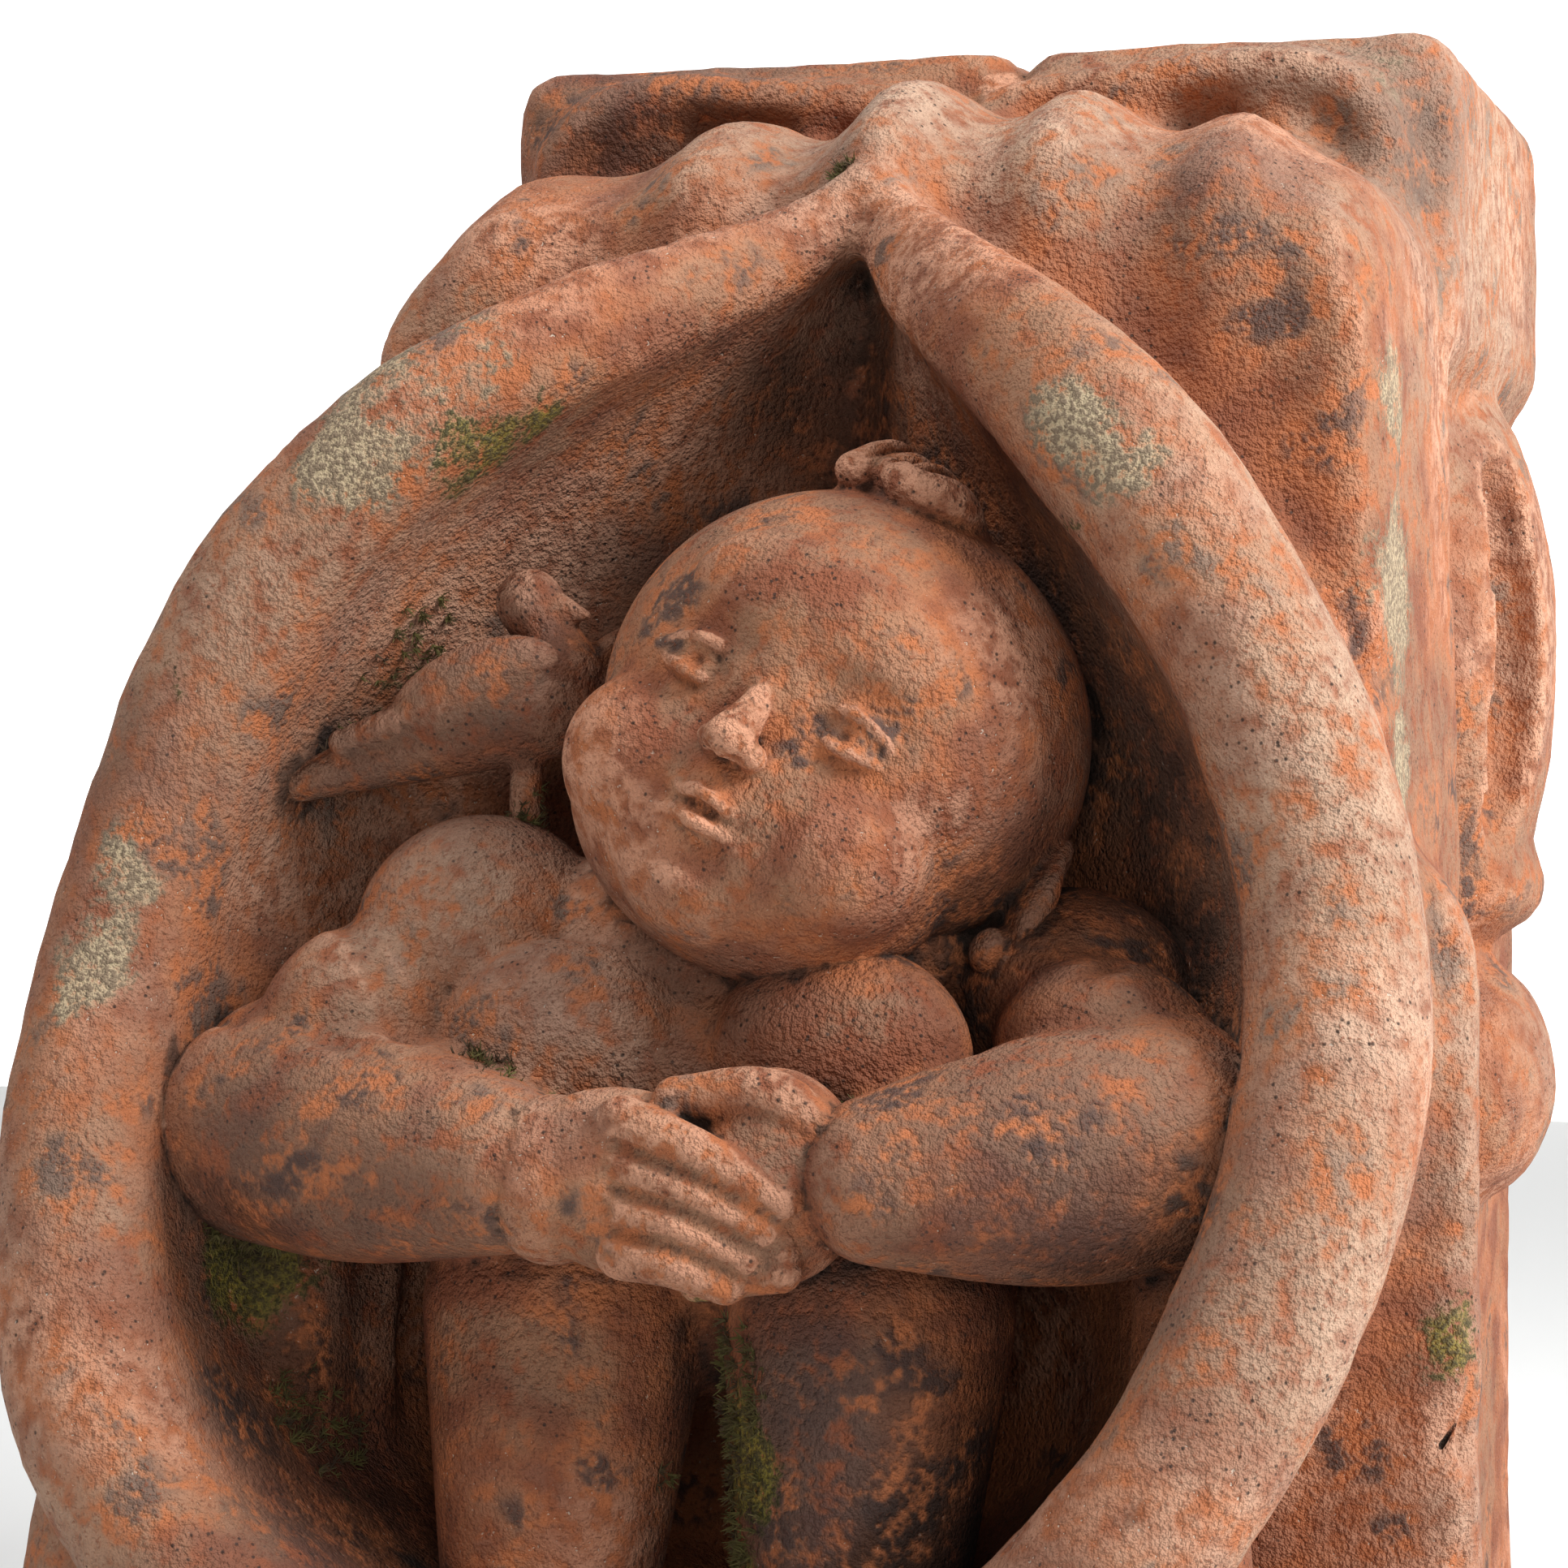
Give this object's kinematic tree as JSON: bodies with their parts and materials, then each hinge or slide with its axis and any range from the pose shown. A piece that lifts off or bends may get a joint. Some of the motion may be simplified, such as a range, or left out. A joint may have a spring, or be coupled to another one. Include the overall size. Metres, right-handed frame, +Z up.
{
  "type": "gargoyle statue",
  "caption": "Worn terracotta gargoyle: a standing infant with folded arms and a bird on its shoulder, inside a hooded pod in front of a scrolled wall block",
  "frame": {"origin": "under the middle of the foot slab, on the ground it stands on", "axes": "+Z up, the pod and the infant face -Y, +X to the viewer's right"},
  "size_m": [0.4292, 0.5708, 0.597],
  "materials": {
    "terracotta": "unglazed fired clay, orange-brown with dark patina, lichen and moss"
  },
  "bodies": {
    "root": {"gargoyle": "terracotta"}
  },
  "joints": []
}
